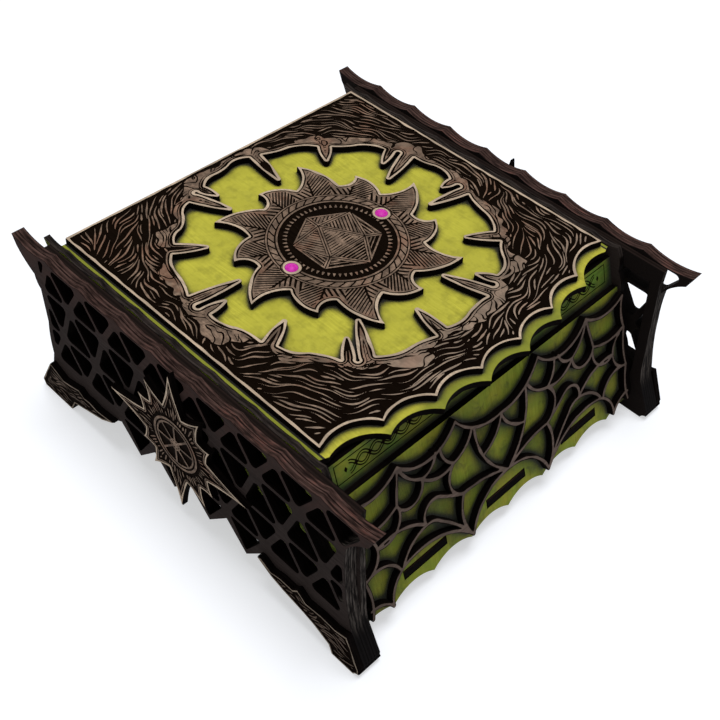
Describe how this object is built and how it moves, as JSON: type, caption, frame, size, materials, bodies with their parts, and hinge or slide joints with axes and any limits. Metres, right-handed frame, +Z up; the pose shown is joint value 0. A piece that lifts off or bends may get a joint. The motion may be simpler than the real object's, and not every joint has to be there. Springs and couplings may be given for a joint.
{
  "type": "dice storage chest",
  "caption": "Low square wooden chest with a hinged scalloped lid, a web-fronted drawer and openwork lattice sides on feet.",
  "frame": {"origin": "on the surface it stands on, under the middle of its outer size", "axes": "+Z up, the drawer opens towards -Y, +X to the right seen from the front"},
  "size_m": [0.2144, 0.225, 0.0921],
  "materials": {
    "green_top": "satin, stained yellow-green",
    "green_side": "satin, stained green",
    "engraved_wood": "satin, engraved",
    "web_wood": "satin",
    "star_wood": "satin, engraved",
    "root_wood": "satin, engraved",
    "dark_wood": "satin",
    "felt": "matte",
    "hinge_metal": "satin",
    "gem": "gloss"
  },
  "bodies": {
    "case": {"left_side_wall": "green_side", "left_inner_lattice": "dark_wood", "left_outer_lattice": "dark_wood", "left_rail_spacer": "dark_wood", "left_front_leg": "dark_wood", "left_back_leg": "dark_wood", "left_front_root": "root_wood", "left_back_root": "root_wood", "left_star": "star_wood", "left_tray_liner": "dark_wood", "left_runner": "dark_wood", "left_tray_divider": "dark_wood", "left_case_leaf": "hinge_metal", "left_hinge_pin": "hinge_metal", "right_side_wall": "green_side", "right_inner_lattice": "dark_wood", "right_outer_lattice": "dark_wood", "right_rail_spacer": "dark_wood", "right_front_leg": "dark_wood", "right_back_leg": "dark_wood", "right_front_root": "root_wood", "right_back_root": "root_wood", "right_star": "star_wood", "right_tray_liner": "dark_wood", "right_runner": "dark_wood", "right_tray_divider": "dark_wood", "right_case_leaf": "hinge_metal", "right_hinge_pin": "hinge_metal", "back_wall": "green_side", "fascia": "green_side", "tray_floor": "dark_wood", "tray_felt": "felt", "long_tray_divider": "dark_wood", "hinge_screws": "hinge_metal"},
    "lid": {"lid_panel": "green_top", "lid_frame": "engraved_wood", "lid_wreath": "engraved_wood", "left_gem": "gem", "right_gem": "gem", "left_lid_leaf": "hinge_metal", "right_lid_leaf": "hinge_metal"},
    "drawer": {"drawer_front": "green_side", "drawer_web": "web_wood", "drawer_floor": "dark_wood", "drawer_right_side": "dark_wood", "drawer_left_side": "dark_wood", "drawer_back": "dark_wood", "drawer_felt": "felt", "long_drawer_divider": "dark_wood", "cross_drawer_divider": "dark_wood"}
  },
  "joints": [
    {"name": "lid_hinge", "type": "hinge", "parent": "case", "child": "lid", "pos_m": [0, 0.0961, 0.0844], "axis": [-1, 0, 0], "range_deg": [0, 100]},
    {"name": "drawer_slide", "type": "slide", "parent": "case", "child": "drawer", "axis": [0, -1, 0], "range_m": [0, 0.11]}
  ]
}
